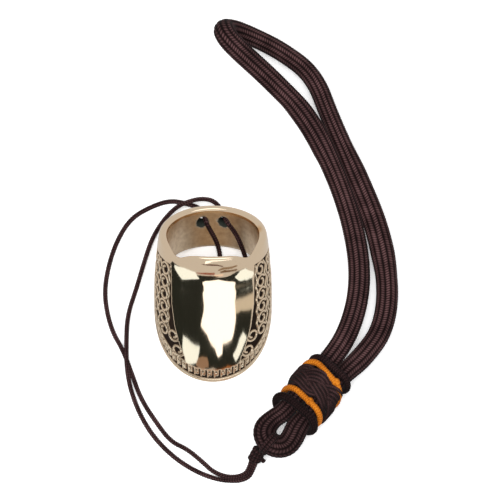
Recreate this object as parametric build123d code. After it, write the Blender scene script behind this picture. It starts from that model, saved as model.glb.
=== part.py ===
from build123d import *
from math import atan2, cos, pi, radians, sin, sqrt, tan
import os

# An archer's thumb ring of cast brass, standing on the foot of its band and the edge of its
# tongue as it does on a table.
# A thin lace passes through two drilled holes in the band behind the thumb and is hitched to the
# eye of a braided wrist cord, whose two strands are held by a barrel of knotted rings.
# Millimetres, +Z up, the tongue of the ring points along -Y, and the origin is at the middle of
# the ring's footprint on the table.

# Ring sizes
hole_width = 22.0
hole_depth = 22.7
ring_length = 36.0
back_height = 10.5
flank_wall = 2.7
face_wall = 2.7
back_wall = 2.1
rim_round = 0.45
tolerance = 0.001

# Each row is one section across the hole, from the rim to just past the tip. Its place is a share
# of ring_length, the bore is a share of half the hole, and the walls are shares of their sizes.
section_names = ("down", "bore_width", "bore_front", "flank", "face")
section_rows = [dict(zip(section_names, row)) for row in (
    (0.00, 1.000, 1.000, 0.68, 0.42),
    (0.05, 1.000, 1.000, 0.82, 0.68),
    (0.12, 1.000, 1.000, 0.94, 0.92),
    (0.25, 1.014, 1.004, 1.04, 1.00),
    (0.45, 1.055, 1.004, 0.98, 1.00),
    (0.64, 1.077, 0.969, 0.87, 0.93),
    (0.83, 1.045, 0.881, 0.80, 0.87),
    (1.00, 0.990, 0.736, 0.78, 0.83),
    (1.12, 0.927, 0.590, 0.78, 0.83))]
tip_row = next(row for row in section_rows if row["down"] == 1.0)

# The lower edge leaves the table between the band behind the thumb and the tongue. Each row is
# a share of arch_length forward from the band's foot and a share of arch_height.
arch_length = 23.0
arch_height = 4.3
arch_rows = (
    (0.000, 0.00), (0.120, 0.77), (0.240, 1.00), (0.410, 0.90), (0.610, 0.55), (0.810, 0.18),
    (1.000, 0.00))
arch_samples = 200

# Polished panel of the face. Each row is a depth as a share of ring_length and half the width.
face_panel_rows = (
    (-0.10, 10.2), (0.39, 10.1), (0.56, 9.4), (0.70, 8.2), (0.80, 7.0), (1.20, 5.5))

# Cast relief on the flanks and along the lower edge
relief_height = 0.3
relief_root = 0.5
rim_band = 3.9
back_panel_reach = 10.0
edge_strip = 0.75
fret_height = 2.0
fret_gap = 0.14
fret_width = 1.3
fret_pitch = 1.65
fret_line = 0.36
fret_hook = 0.35
fret_border = 0.3
fret_reach = 115
scroll_radius = 1.3
scroll_line = 0.45
scroll_pitch = 3.4
scroll_angles = (58.0, 76.0, 94.0, 112.0, 128.0)
scroll_margin = 1.9
corner_scrolls = ((38.0, 27.3), (43.0, 23.2))

# Drilled holes for the lace
lace_hole_diameter = 2.5
lace_hole_spacing = 5.1
lace_hole_below_rim = 3.55

# Cords
lace_diameter = 1.0
wrist_cord_diameter = 4.7
arc_share = 0.45

# Barrel of knotted rings round the two strands of the wrist cord. Each row of wrap_rows is one
# ring: its place along the barrel, its cord, how far its top leans towards the wrist loop and how
# far it is turned about the vertical.
barrel_heading = 229.4
lane_gap = 0.1
wrap_gap = 0.15
floor_gap = 0.05
collar_diameter = 2.0
accent_diameter = 1.5
barrel_height = wrist_cord_diameter / 2 + wrap_gap + collar_diameter + floor_gap
barrel_start = (29.0, -19.2, barrel_height)
wrap_names = ("name", "along", "diameter", "lean", "turn")
wrap_rows = [dict(zip(wrap_names, row)) for row in (
    ("upper_collar", 0.8, collar_diameter, 25.0, 0.0),
    ("upper_accent_ring", 3.7, accent_diameter, 37.0, -4.0),
    ("lower_accent_ring", 11.6, accent_diameter, 28.0, -3.0),
    ("lower_collar", 14.0, collar_diameter, 23.0, 0.0))]
sleeve_wall = 1.6
sleeve_along = 5.3
sleeve_length = 4.5
sleeve_lean = 35.0

# Hitch of the lace round the eye of the wrist cord, and its knot
eye_tip_along = 23.6
eye_height = 3.9
knot_along = 27.35
knot_across = -0.75
knot_height = 1.9
knot_length = 3.0
knot_wrap_radius = 0.95
knot_wrap_diameter = 1.4
knot_turns = 2
knot_tail_length = 2.9

# The lace lies on the table, crosses itself twice and runs through both holes of the ring.
lace_route = [
    (9.35, -40.55, 1.3), (8.7, -42.2, 0.6), (7.5, -44.0, 0.5), (4.1, -44.7, 0.5),
    (0.2, -43.6, 0.5), (-2.7, -40.8, 0.5), (-6.3, -37.8, 0.5), (-10.2, -36.0, 0.5),
    (-13.6, -31.5, 0.5), (-17.5, -25.5, 0.5), (-19.8, -18.9, 0.5), (-21.8, -13.5, 0.5),
    (-24.3, -9.2, 0.5), (-25.8, -3.9, 0.5), (-26.3, 1.3, 0.5), (-25.4, 7.2, 0.5),
    (-23.3, 13.6, 0.5), (-19.9, 19.1, 0.5), (-14.8, 22.0, 0.5), (-10.4, 23.4, 0.5),
    (-6.6, 22.9, 0.5), (-2.4, 21.3, 0.5), (-1.75, 16.9, 5.55), (-0.75, 15.6, 3.9),
    (0.6, 13.5, 2.1), (1.4, 11.6, 0.8), (1.8, 9.0, 0.5), (1.9, 6.0, 0.5), (3.2, 1.8, 0.5),
    (6.2, -0.6, 0.5), (8.9, 1.8, 0.5), (8.6, 6.0, 1.4), (7.9, 9.0, 2.6), (6.9, 11.6, 3.8),
    (5.4, 14.7, 5.0), (3.25, 16.9, 5.55), (2.6, 21.3, 0.5), (0.6, 23.6, 1.2), (-2.4, 24.0, 2.0),
    (-4.9, 23.5, 2.0), (-8.5, 21.9, 2.0), (-11.9, 18.8, 0.5), (-14.8, 14.1, 0.5),
    (-16.7, 8.2, 0.5), (-18.7, 1.3, 0.5), (-20.8, -5.1, 0.5), (-21.0, -12.5, 2.0),
    (-20.9, -18.0, 2.0), (-19.9, -23.6, 0.5), (-17.2, -30.5, 0.5), (-13.1, -36.5, 0.5),
    (-7.3, -41.6, 0.5), (-0.5, -44.9, 0.5), (5.6, -46.2, 0.5), (8.8, -45.2, 0.5),
    (10.0, -42.9, 0.6), (10.4, -41.05, 1.3)]

# The wrist cord starts inside the barrel, makes the wrist loop, passes back through the barrel,
# turns in the eye and ends beside its start.
wrist_route = [
    (22.95, -22.57, barrel_height), (28.15, -16.50, barrel_height), (33.0, -8.5, 3.6),
    (35.8, 2.5, 2.6), (34.6, 15.0, 2.4), (29.9, 29.5, 3.2), (22.7, 43.5, 5.6), (13.4, 52.6, 8.0),
    (6.6, 58.8, 9.2), (3.4, 62.2, 9.4), (2.2, 64.4, 7.6), (2.4, 65.2, 4.6), (4.6, 65.0, 2.6), (9.0, 63.6, 2.4),
    (16.5, 60.2, 2.4), (24.6, 54.0, 2.4), (28.6, 43.0, 2.4), (35.3, 28.0, 2.4),
    (40.2, 15.5, 2.4), (43.0, 1.5, 2.4), (41.6, -9.0, 2.7), (36.4, -15.6, 3.8),
    (31.80, -19.62, barrel_height), (27.90, -24.17, barrel_height + 0.01),
    (24.00, -28.75, barrel_height), (20.47, -32.83, barrel_height - 0.02),
    (19.75, -35.76, 4.3), (17.79, -38.04, 4.0), (14.78, -38.20, 3.9), (12.36, -36.13, 3.9),
    (12.10, -33.16, 4.0), (14.05, -30.88, 4.3), (16.83, -29.71, barrel_height - 0.02),
    (19.40, -26.74, barrel_height + 0.01), (22.30, -23.33, barrel_height)]


def section_sizes(row, growth=0.0):
    """Depth, bore and outer reaches of one section in millimetres, the outside grown by growth."""
    bore_width = row["bore_width"] * hole_width / 2
    bore_front = row["bore_front"] * hole_depth / 2
    return dict(
        depth=row["down"] * ring_length, bore_width=bore_width, bore_front=bore_front,
        width=bore_width + row["flank"] * flank_wall + growth,
        front=bore_front + row["face"] * face_wall + growth,
        bore_back=hole_depth / 2, back=hole_depth / 2 + back_wall + growth)


# The ring stands on the plane through the inner lower edge of the band and the tip of the tongue.
tip = section_sizes(tip_row)
base_angle = atan2(tip["front"] + hole_depth / 2, tip["depth"] - back_height)
hole_height = back_height * sin(base_angle) + hole_depth / 2 * cos(base_angle)
down_the_hole = Vector(0, -cos(base_angle), -sin(base_angle))
ring_plane = Plane(origin=(0, 0, hole_height), x_dir=(1, 0, 0), z_dir=down_the_hole)
band_top = edge_strip + fret_height + 2 * fret_border
beyond = 4 * ring_length
band_foot = hole_depth / 2 * sin(base_angle) - back_height * cos(base_angle)
arch_points = [(band_foot - along * arch_length, rise * arch_height) for along, rise in arch_rows]
arch_edge = Spline(*arch_points, tangents=[(-1, arch_height / arch_length * 8), (-1, 0)])
arch_line = [arch_edge @ (step / arch_samples) for step in range(arch_samples + 1)]


def oval(depth, half_width, front, back):
    """One oval section across the hole."""
    middle = Pos(0, (front - back) / 2)
    return ring_plane.offset(depth) * middle * Ellipse(half_width, (front + back) / 2)


def outer_form(growth):
    """The whole outside of the ring, without its hole."""
    sizes = [section_sizes(row, growth) for row in section_rows]
    return loft([oval(s["depth"], s["width"], s["front"], s["back"]) for s in sizes])


def bore_form():
    """The hollow for the thumb, running out past both ends."""
    sizes = [section_sizes(row) for row in section_rows]
    sizes.insert(0, dict(sizes[0], depth=-flank_wall))
    return loft([oval(s["depth"], s["bore_width"], s["bore_front"], s["bore_back"]) for s in sizes])


def ring_box(low, high):
    """A box from its two corners in the ring's own frame: across, forward and down the hole."""
    size = [b - a for a, b in zip(low, high)]
    centre = [(a + b) / 2 for a, b in zip(low, high)]
    return ring_plane * Pos(*centre) * Box(*size)


def face_panel():
    """Everything in front of the polished panel of the face."""
    right = [(half_width, down * ring_length) for down, half_width in face_panel_rows]
    left = [(-half_width, depth) for half_width, depth in reversed(right)]
    outline = make_face(Polyline(*right, *left, close=True))
    facing = Plane(origin=ring_plane.origin, x_dir=(1, 0, 0), z_dir=ring_plane.y_dir * -1)
    return extrude(facing * outline, -beyond)


def edge_rise(place):
    """Height above the table of the lower edge, at a place along Y."""
    for back, front in zip(arch_line, arch_line[1:]):
        if front.X <= place <= back.X:
            return back.Y + (front.Y - back.Y) * (back.X - place) / (back.X - front.X)
    return 0.0


def under_edge(height):
    """Everything below the lower edge when it is raised by height."""
    start, end = Vector(*arch_points[0], 0), Vector(*arch_points[-1], 0)
    back, front = Vector(beyond, 0, 0), Vector(-beyond, 0, 0)
    drop = Vector(0, -beyond, 0)
    outline = Line(back, start) + arch_edge + Polyline(end, front, front + drop, back + drop, back)
    below = extrude(make_face(outline), beyond, both=True)
    return Pos(0, 0, height) * Plane(origin=(0, 0, 0), x_dir=(0, 1, 0), z_dir=(1, 0, 0)) * below


def outer_point(depth, angle):
    """A point on the outside, at a depth below the rim and an angle from the front."""
    sizes = [section_sizes(row) for row in section_rows]
    below = next(size for size in sizes[1:] if depth <= size["depth"] + tolerance)
    above = sizes[sizes.index(below) - 1]
    share = (depth - above["depth"]) / (below["depth"] - above["depth"])
    width, front, back = (above[k] + share * (below[k] - above[k]) for k in ("width", "front", "back"))
    across = width * sin(angle)
    forward = (front - back) / 2 + (front + back) / 2 * cos(angle)
    return ring_plane.from_local_coords(Vector(across, forward, depth))


def motif_plane(depth, angle, along=None):
    """A plane touching the outside there, its X along the given way or round the ring."""
    step = 0.01
    point = outer_point(depth, angle)
    round_way = outer_point(depth, angle + step) - point
    down_way = outer_point(depth + step, angle) - point
    outward = down_way.cross(round_way).normalized()
    along = along or round_way
    along = (along - outward * along.dot(outward)).normalized()
    return Plane(origin=point, x_dir=along, z_dir=outward)


def depth_above_edge(angle, height):
    """Depth below the rim at which the outside has this height above its lower edge."""
    low, high = 0.0, section_sizes(section_rows[-1])["depth"]
    while high - low > tolerance:
        middle = (low + high) / 2
        point = outer_point(middle, angle)
        if point.Z > edge_rise(point.Y) + height:
            low = middle
        else:
            high = middle
    return low


def fret_planes():
    """Planes evenly spaced along the lower edge, from the tip back round both flanks."""
    height = edge_strip + fret_border + fret_height / 2
    planes = []
    for side in (-1, 1):
        walked, due = 0.0, fret_pitch / 2
        last = outer_point(depth_above_edge(0.0, height), 0.0)
        for degree in range(1, fret_reach + 1):
            angle = side * radians(degree)
            point = outer_point(depth_above_edge(angle, height), angle)
            stride = (point - last).length
            if walked + stride >= due:
                share = (due - walked) / stride
                key_angle = side * radians(degree - 1 + share)
                along = (point - last) * side
                planes.append(motif_plane(depth_above_edge(key_angle, height), key_angle, along))
                due += fret_pitch
            walked += stride
            last = point
    return planes


def bar(left, bottom, right, top):
    """A flat rectangle from its corners."""
    return Pos((left + right) / 2, (bottom + top) / 2) * Rectangle(right - left, top - bottom)


def raised(plane, sketch):
    """A motif as a prism that starts in the wall and stands up to the polished level."""
    return extrude(plane.offset(-relief_height - relief_root) * sketch, relief_height + relief_root)


def fret_key(height):
    """One squared hook of the fret, as tall as the sunk band is there."""
    half, top, line = fret_width / 2, height / 2 - fret_gap, fret_line
    inner_end = -top * fret_hook
    hook = bar(-half, -top, -half + line, top)
    hook += bar(-half, top - line, half, top)
    hook += bar(half - line, inner_end - line, half, top)
    hook += bar(0, inner_end - line, half, inner_end)
    return hook


def scroll():
    """The open curl of the cloud pattern and the dot in its middle."""
    ring = Circle(scroll_radius + scroll_line / 2) - Circle(scroll_radius - scroll_line / 2)
    mouth = bar(0, -scroll_line, 2 * scroll_radius, scroll_line)
    return ring - mouth, Circle(scroll_line)


def flank_planes():
    """Planes of the scrolls on both flanks, in columns from the rim band to the fret."""
    planes = []
    for side in (-1, 1):
        for degree, depth in corner_scrolls:
            planes.append(motif_plane(depth, side * radians(degree), down_the_hole))
        for column, degree in enumerate(scroll_angles):
            angle = side * radians(degree)
            lowest = depth_above_edge(angle, band_top) - scroll_margin
            depth = rim_band + scroll_margin + (column % 2) * scroll_pitch / 2
            while depth <= lowest:
                planes.append(motif_plane(depth, angle, down_the_hole * (1 if column % 2 else -1)))
                depth += scroll_pitch
    return planes


def rim_edges(body):
    """The edges round the top of the rim."""
    def depth(point):
        return abs(ring_plane.to_local_coords(point).Z)
    shares = (0.0, 0.25, 0.5)
    return [e for e in body.edges() if all(depth(e @ share) < tolerance for share in shares)]


def thumb_ring():
    """The cast ring: plain rim, polished face and back over sunk flanks with raised ornament."""
    plain = ring_box((-beyond, -beyond, -beyond), (beyond, beyond, rim_band))
    plain += face_panel() - under_edge(band_top)
    plain += ring_box((-beyond, -beyond, 0), (beyond, -back_panel_reach, beyond))
    plain += under_edge(edge_strip)
    plain += under_edge(band_top) - under_edge(band_top - fret_border)
    ring = outer_form(-relief_height) + (outer_form(0.0) & plain)
    ring = ring - bore_form() - under_edge(0.0)
    ring = fillet(rim_edges(ring), rim_round)
    for side in (-1, 1):
        drill = Rot(90, 0, 0) * Cylinder(lace_hole_diameter / 2, 3 * back_wall)
        place = Pos(side * lace_hole_spacing / 2, -(hole_depth + back_wall) / 2, lace_hole_below_rim)
        ring -= ring_plane * place * drill
    keys = []
    for plane in fret_planes():
        slope = sqrt(1 - plane.z_dir.Z ** 2)
        keys.append(raised(plane, fret_key(fret_height / slope)))
    scrolls = [raised(plane, piece) for plane in flank_planes() for piece in scroll()]
    ring += keys + scrolls
    return Pos(0, -ring.bounding_box().center().Y, 0) * ring


def cord_tube(name, route, diameter):
    """A cord's tube: straight runs joined by arcs as large as the runs allow."""
    points = [Vector(*p) for p in route]
    radii = []
    for before, corner, after in zip(points, points[1:], points[2:]):
        turn = radians((corner - before).get_angle(after - corner))
        shorter = min((corner - before).length, (after - corner).length)
        radii.append(arc_share * shorter / tan(turn / 2))
    path = FilletPolyline(*points, radius=radii)
    section = Plane(origin=path @ 0, z_dir=path % 0) * Circle(diameter / 2)
    tube = sweep(section, path=path)
    expected = pi * diameter ** 2 / 4 * path.length
    print(name, "length", round(path.length, 1), "volume share", round(tube.volume / expected, 4))
    print("  radii over diameter", [round(r / diameter, 1) for r in radii])
    return tube


# The barrel's own frame: its axis runs from the wrist loop to the eye, X is across both strands.
barrel_axis = Vector(cos(radians(barrel_heading)), sin(radians(barrel_heading)), 0)
barrel_across = barrel_axis.cross(Vector(0, 0, -1))
lane_offset = (wrist_cord_diameter + lane_gap) / 2
strands_half_width = lane_offset + wrist_cord_diameter / 2 + wrap_gap
strands_half_height = wrist_cord_diameter / 2 + wrap_gap


def barrel_point(along, across=0.0, up=0.0):
    """A point from the barrel's start, in its own directions."""
    return Vector(*barrel_start) + barrel_axis * along + barrel_across * across + Vector(0, 0, up)


def leaning_plane(along, lean, turn=0.0):
    """A plane across the barrel, its top leaning back towards the wrist loop, then turned."""
    heading, across = barrel_axis.rotate(Axis.Z, turn), barrel_across.rotate(Axis.Z, turn)
    normal = heading * cos(radians(lean)) + Vector(0, 0, 1) * sin(radians(lean))
    return Plane(origin=barrel_point(along), x_dir=across, z_dir=normal)


def slot_outline(half_width, half_height, lean):
    """The rounded outline round both strands, stretched so that it clears them when it leans."""
    radius = half_height / cos(radians(lean))
    corner_loss = (1 - sqrt(0.5)) * (radius - half_height)
    return SlotCenterToCenter(2 * (half_width + corner_loss - radius), 2 * radius)


def wrap_ring(row):
    """One turn of cord round both strands."""
    reach = row["diameter"] / 2
    outline = slot_outline(strands_half_width + reach, strands_half_height + reach, row["lean"])
    plane = leaning_plane(row["along"], row["lean"], row["turn"])
    path = (plane * outline).face().outer_wire()
    section = Plane(origin=path @ 0, z_dir=path % 0) * Circle(reach)
    return sweep(section, path=path)


def braided_sleeve():
    """The braided middle of the barrel as one hollow sleeve."""
    plane = leaning_plane(sleeve_along, sleeve_lean)
    reach = sleeve_wall
    outside = slot_outline(strands_half_width + reach, strands_half_height + reach, sleeve_lean)
    inside = slot_outline(strands_half_width, strands_half_height, sleeve_lean)
    sleeve = extrude(plane * outside, sleeve_length, dir=barrel_axis)
    sleeve -= extrude(plane * inside, sleeve_length, dir=barrel_axis)
    return sleeve


def hitch_knot():
    """The lace's loop round the eye of the wrist cord, with its knot and short tail."""
    loop_radius = (wrist_cord_diameter + lace_diameter) / 2 + wrap_gap
    eye_tip = barrel_point(eye_tip_along)
    eye_tip.Z = eye_height
    loop = Plane(origin=eye_tip, z_dir=barrel_across) * Torus(loop_radius, lace_diameter / 2)
    middle = barrel_point(knot_along, knot_across)
    middle.Z = knot_height
    ends = (Vector(*lace_route[0]) + Vector(*lace_route[-1])) / 2
    knot = Plane(origin=middle, z_dir=ends - middle)
    pitch = knot_length / knot_turns
    body = knot * Cylinder(knot_wrap_radius, knot_length)
    for turn in range(knot_turns):
        place = Pos(0, 0, (turn - (knot_turns - 1) / 2) * pitch)
        body += knot * place * Torus(knot_wrap_radius, knot_wrap_diameter / 2)
    tail = Plane(origin=middle, z_dir=barrel_across) * Pos(0, 0, knot_tail_length / 2)
    return loop + body + tail * Cylinder(lace_diameter / 2, knot_tail_length)


def write_parts():
    """Builds every piece and writes each to its own file."""
    pieces = {
        "thumb_ring": thumb_ring(),
        "lace": cord_tube("lace", lace_route, lace_diameter),
        "wrist_cord": cord_tube("wrist_cord", wrist_route, wrist_cord_diameter),
        "braided_sleeve": braided_sleeve(),
        "hitch_knot": hitch_knot()}
    for row in wrap_rows:
        pieces[row["name"]] = wrap_ring(row)
    os.makedirs("parts", exist_ok=True)
    for name, piece in pieces.items():
        piece.label = name
        export_step(piece, f"parts/{name}.step")


write_parts()
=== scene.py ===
import bmesh
import bpy
import math
import numpy as np
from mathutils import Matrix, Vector


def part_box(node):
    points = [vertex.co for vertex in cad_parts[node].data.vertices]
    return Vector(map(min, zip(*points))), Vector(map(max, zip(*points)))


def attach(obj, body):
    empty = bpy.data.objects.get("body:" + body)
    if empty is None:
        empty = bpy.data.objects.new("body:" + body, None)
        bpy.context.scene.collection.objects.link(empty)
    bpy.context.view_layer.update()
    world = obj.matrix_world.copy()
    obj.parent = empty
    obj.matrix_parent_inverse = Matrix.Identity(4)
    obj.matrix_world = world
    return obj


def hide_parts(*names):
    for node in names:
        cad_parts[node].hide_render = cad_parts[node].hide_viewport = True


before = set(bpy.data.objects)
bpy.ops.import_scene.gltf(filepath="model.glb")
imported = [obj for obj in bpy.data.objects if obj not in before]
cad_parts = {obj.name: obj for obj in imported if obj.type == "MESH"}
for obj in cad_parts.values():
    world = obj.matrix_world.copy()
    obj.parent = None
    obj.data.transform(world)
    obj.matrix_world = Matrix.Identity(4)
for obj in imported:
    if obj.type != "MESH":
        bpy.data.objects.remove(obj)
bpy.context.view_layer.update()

# The ring and its cords lie on a pale studio table, seen from almost straight above with a
# long lens. The table is lit evenly, and the brass mirrors a few bright cards and a dark cloth.
mm = 0.001
scene = bpy.context.scene
scene.view_settings.view_transform = "Standard"

view_elevation = math.radians(79.5)
view_distance = 3.0
view_width = 121.4 * mm
view_middle = Vector((8.98 * mm, 11.27 * mm, 0.0))
towards_camera = Vector((0.0, -math.cos(view_elevation), math.sin(view_elevation)))


def linked(name, data):
    """An object for its data, placed at the origin."""
    piece = bpy.data.objects.new(name, data)
    scene.collection.objects.link(piece)
    return piece


camera = linked("camera", bpy.data.cameras.new("camera"))
camera.location = view_middle + towards_camera * view_distance
camera.rotation_euler = towards_camera.to_track_quat("Z", "Y").to_euler()
camera.data.lens = camera.data.sensor_width * view_distance / view_width
camera.data.clip_end = 20.0
scene.camera = camera


def new_mesh(name, places, edges, faces):
    """A mesh from its places, edges and faces."""
    mesh = bpy.data.meshes.new(name)
    mesh.from_pydata(places, edges, faces)
    return mesh


def new_material(name, colour, **shader):
    """A material of one principled shader."""
    material = bpy.data.materials.new(name)
    material.use_nodes = True
    material.diffuse_color = (*colour, 1.0)
    surface = material.node_tree.nodes["Principled BSDF"]
    surface.inputs["Base Color"].default_value = (*colour, 1.0)
    for key, value in shader.items():
        surface.inputs[key.replace("_", " ").title().replace("Ior", "IOR")].default_value = value
    return material


table_half_size = 1.5
table_gap = 0.05 * mm
table_corners = []
for x, y in ((-1, -1), (1, -1), (1, 1), (-1, 1)):
    table_corners.append((x * table_half_size, y * table_half_size, -table_gap))
table_mesh = new_mesh("table_top", table_corners, [], [(0, 1, 2, 3)])
table_top = linked("table_top", table_mesh)
white = (1.0, 1.0, 1.0, 1.0)
table_mesh.materials.append(new_material(
    "white_paper", (0.93, 0.93, 0.93), roughness=0.9, emission_strength=0.3, emission_color=white))
table_top.visible_glossy = False

scene.world = bpy.data.worlds.new("studio")
scene.world.use_nodes = True
background = scene.world.node_tree.nodes["Background"]
background.inputs["Color"].default_value = white
background.inputs["Strength"].default_value = 0.62


def direction(azimuth, elevation):
    """The way to a place, in degrees round from -Y towards +X and in degrees up."""
    turn, rise = math.radians(azimuth), math.radians(elevation)
    return math.sin(turn) * math.cos(rise), -math.cos(turn) * math.cos(rise), math.sin(rise)


def area_light(name, azimuth, elevation, distance, size, power):
    """A square soft light aimed at the middle of the view, unseen in the brass."""
    light = bpy.data.lights.new(name, "AREA")
    light.shape = "SQUARE"
    light.size = size
    light.energy = power
    lamp = linked(name, light)
    away = Vector(direction(azimuth, elevation))
    lamp.location = view_middle + away * distance
    lamp.rotation_euler = away.to_track_quat("Z", "Y").to_euler()
    lamp.visible_glossy = False


area_light("ceiling_softbox", 0.0, 80.0, 1.2, 1.0, 12.0)
area_light("left_softbox", -70.0, 45.0, 1.2, 0.6, 4.0)

# Cards and cloth round the table, which show only in the polished brass. Each row is a name, a
# distance, a light and the outline: azimuth, lowest and highest elevation from the ring, in
# degrees.
white_card = (1.65, 1.75, 1.85)
cream_card = (1.07, 1.27, 1.40)
card_rows = (
    ("dark_cloth", 0.75, (0.013, 0.017, 0.015), (
        (-80, -20, -4), (-68, -20, 12), (-55, -21, 25), (-44, -20, 32), (-36, -19, 33), (-29, -16, 37),
        (-18, -12, 38), (0, -9, 38), (16, -13, 36), (31, -17, 32), (45, -18, 29), (52, -16, 26),
        (58, -14, 21), (66, -12, 12), (68, -11, 8))),
    ("front_card", 0.6, white_card, (
        (-20, 23.5, 25), (-15.6, 19.5, 28.5), (-15.3, 16.5, 28.6), (-9, 17, 30), (3, 17, 32), (13, 17, 32),
        (20, 17, 28), (27, 17, 24), (36, 16.5, 18), (38, 16, 17))),
    ("front_lower_card", 0.6, white_card, (
        (-18.5, 9.5, 10.5), (-15, 9, 18), (-9, 8, 18), (-4, 5, 18), (3, 3, 18), (7, -2, 18),
        (13, -1, 18), (14, 3, 18), (27, 0, 18), (30, 1, 18), (36, 5, 18), (37.5, 11, 17),
        (41, 12.5, 13.5))),
    ("upper_left_card", 0.6, cream_card, (
        (-75, -1, 1), (-62, 2, 21), (-55, 4, 27), (-44, 16, 34), (-42, 18, 35), (-29, 28, 29))),
    ("upper_right_card", 0.6, cream_card, (
        (45, 17.5, 21), (47.5, 10.5, 21), (49, 8.3, 21), (50.5, 6.9, 21), (54, 3.8, 21), (56.8, 1.5, 20.6),
        (58, -0.6, 20.4), (61, -3.5, 18), (64.4, -6.6, 14), (66, -9, 12.5), (67, -10, 11), (73, -13, -11))),
    ("lower_left_card", 0.6, cream_card, (
        (-43, -14, -8), (-37, -19, -5), (-22, -10, 0), (-19, 0, 1))),
    ("lower_right_card", 0.6, cream_card, (
        (28, -8, -7), (31, -14, -7), (39, -13, -6), (44, -13, -7), (48, -14, -13))),
    ("grey_card", 0.6, (0.64, 0.62, 0.56), (
        (37, 6.5, 12.5), (45, 2.3, 7.6), (52, -4.1, 2), (59.3, -11.4, -4.7), (66, -19, -12))),
    ("tan_card", 0.6, (0.31, 0.21, 0.15), ((-23, -12, -7), (-15, -12, -3), (-8, -9, -2), (-6, -9, -6))),
    ("amber_card", 0.6, (0.34, 0.14, 0.05), (
        (-24, -18, -14), (0, -16, -10), (20, -19, -11), (32, -22, -17))),
    ("rim_bar", 0.6, white_card, ((-30, 58, 61), (0, 65, 72), (66, 46, 50))),
    ("upper_bar", 0.6, (0.09, 0.03, 0.015), ((-38, 53, 54), (-12, 58, 61), (15, 57, 60), (33, 50, 52))),
    ("brown_bar", 0.6, (0.27, 0.20, 0.14), ((16, 48, 50), (31, 46, 50), (48, 37, 41), (60, 29, 32))),
    ("umber_bar", 0.6, (0.16, 0.10, 0.06), ((20, 44, 46), (31, 41, 45), (46, 33, 36), (56, 25, 28))),
    ("middle_bar", 0.6, (0.30, 0.10, 0.07), ((-40, 35, 36), (-19, 42, 45), (5, 44, 47))),
    ("pale_bar", 0.6, (0.95, 0.80, 0.72), ((3, 41, 44), (26, 38, 41))),
    ("lower_bar", 0.6, (0.03, 0.02, 0.015), ((-24, 37, 39), (-5, 38, 42), (14, 38, 41))),
    ("ceiling_card", 0.6, white_card, ((118, 44, 60), (140, 46, 72), (180, 42, 72), (215, 50, 72))),
)


def card(name, distance, light, outline):
    """A glowing card bent round the ring, seen by the brass alone."""
    places = []
    for azimuth, *elevations in outline:
        for elevation in elevations:
            places.append([distance * share for share in direction(azimuth, elevation)])
    faces = [(i, i + 2, i + 3, i + 1) for i in range(0, len(places) - 2, 2)]
    mesh = new_mesh(name, places, [], faces)
    mesh.materials.append(new_material(
        name, (0.0, 0.0, 0.0), roughness=1.0, emission_strength=1.0, emission_color=(*light, 1.0)))
    glow = linked(name, mesh)
    glow.visible_camera = False
    glow.visible_shadow = False
    glow.visible_diffuse = False


for card_row in card_rows:
    card(*card_row)

# The ring is one brass casting: a bead rim, a long mirror-polished tongue, raised cloud scrolls
# on both flanks and a fret along the lower edge, with dark tarnish left in the hollows.
ring_length = 36.0 * mm
hole_width = 22.0 * mm
hole_depth = 22.7 * mm
back_height = 10.5 * mm
flank_wall = 2.7 * mm
face_wall = 2.7 * mm
back_wall = 2.1 * mm
# Each row is a share of the length down the hole, the bore's width and front as shares of half
# the hole, and the flank and face walls as shares of their thickness.
ring_sections = np.array((
    (0.00, 1.000, 1.000, 0.68, 0.42),
    (0.05, 1.000, 1.000, 0.82, 0.68),
    (0.12, 1.000, 1.000, 0.94, 0.92),
    (0.25, 1.014, 1.004, 1.04, 1.00),
    (0.45, 1.055, 1.004, 0.98, 1.00),
    (0.64, 1.077, 0.969, 0.87, 0.93),
    (0.83, 1.045, 0.881, 0.80, 0.87),
    (1.00, 0.990, 0.736, 0.78, 0.83),
    (1.12, 0.927, 0.590, 0.78, 0.83)))
tip_section = 7
wall_end = ring_sections[-1, 0] * ring_length
# Each row is a share of arch_length forward from the band's foot and a share of arch_height.
arch_length = 23.0 * mm
arch_height = 4.3 * mm
arch_rows = np.array((
    (0.000, 0.00), (0.120, 0.77), (0.240, 1.00), (0.410, 0.90), (0.610, 0.55), (0.810, 0.18),
    (1.000, 0.00)))


def down_the_table(share, column, table=ring_sections):
    """A smooth curve down one column of a table."""
    places, values = table[:, 0], table[:, column]
    slopes = np.gradient(values, places)
    row = np.clip(np.searchsorted(places, share, side="right") - 1, 0, len(places) - 2)
    gap = places[row + 1] - places[row]
    t = (share - places[row]) / gap
    ease = t * t * (3 - 2 * t)
    start_pull = t * (1 - t) ** 2 * gap * slopes[row]
    end_pull = t * t * (t - 1) * gap * slopes[row + 1]
    return values[row] * (1 - ease) + values[row + 1] * ease + start_pull + end_pull


def wall_sizes(depth):
    """Bore half width, bore front, outer half width and outer front at a depth below the rim."""
    share = depth / ring_length
    bore_width = down_the_table(share, 1) * hole_width / 2
    bore_front = down_the_table(share, 2) * hole_depth / 2
    width = bore_width + down_the_table(share, 3) * flank_wall
    front = bore_front + down_the_table(share, 4) * face_wall
    return bore_width, bore_front, width, front


tip_front = ring_sections[tip_section, 2] * hole_depth / 2 + ring_sections[tip_section, 4] * face_wall
ring_tilt = math.atan2(tip_front + hole_depth / 2, ring_length - back_height)
hole_height = back_height * math.sin(ring_tilt) + hole_depth / 2 * math.cos(ring_tilt)
ring_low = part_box("thumb_ring")[0]
tip_reach = ring_length * math.cos(ring_tilt) + tip_front * math.sin(ring_tilt)
hole_y = ring_low.y + tip_reach


def in_frame(across, forward, depth):
    """Places in the ring's own directions as places over the table."""
    y = hole_y - forward * math.sin(ring_tilt) - depth * math.cos(ring_tilt)
    z = hole_height + forward * math.cos(ring_tilt) - depth * math.sin(ring_tilt)
    return np.stack(np.broadcast_arrays(across, y, z), axis=-1)


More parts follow.
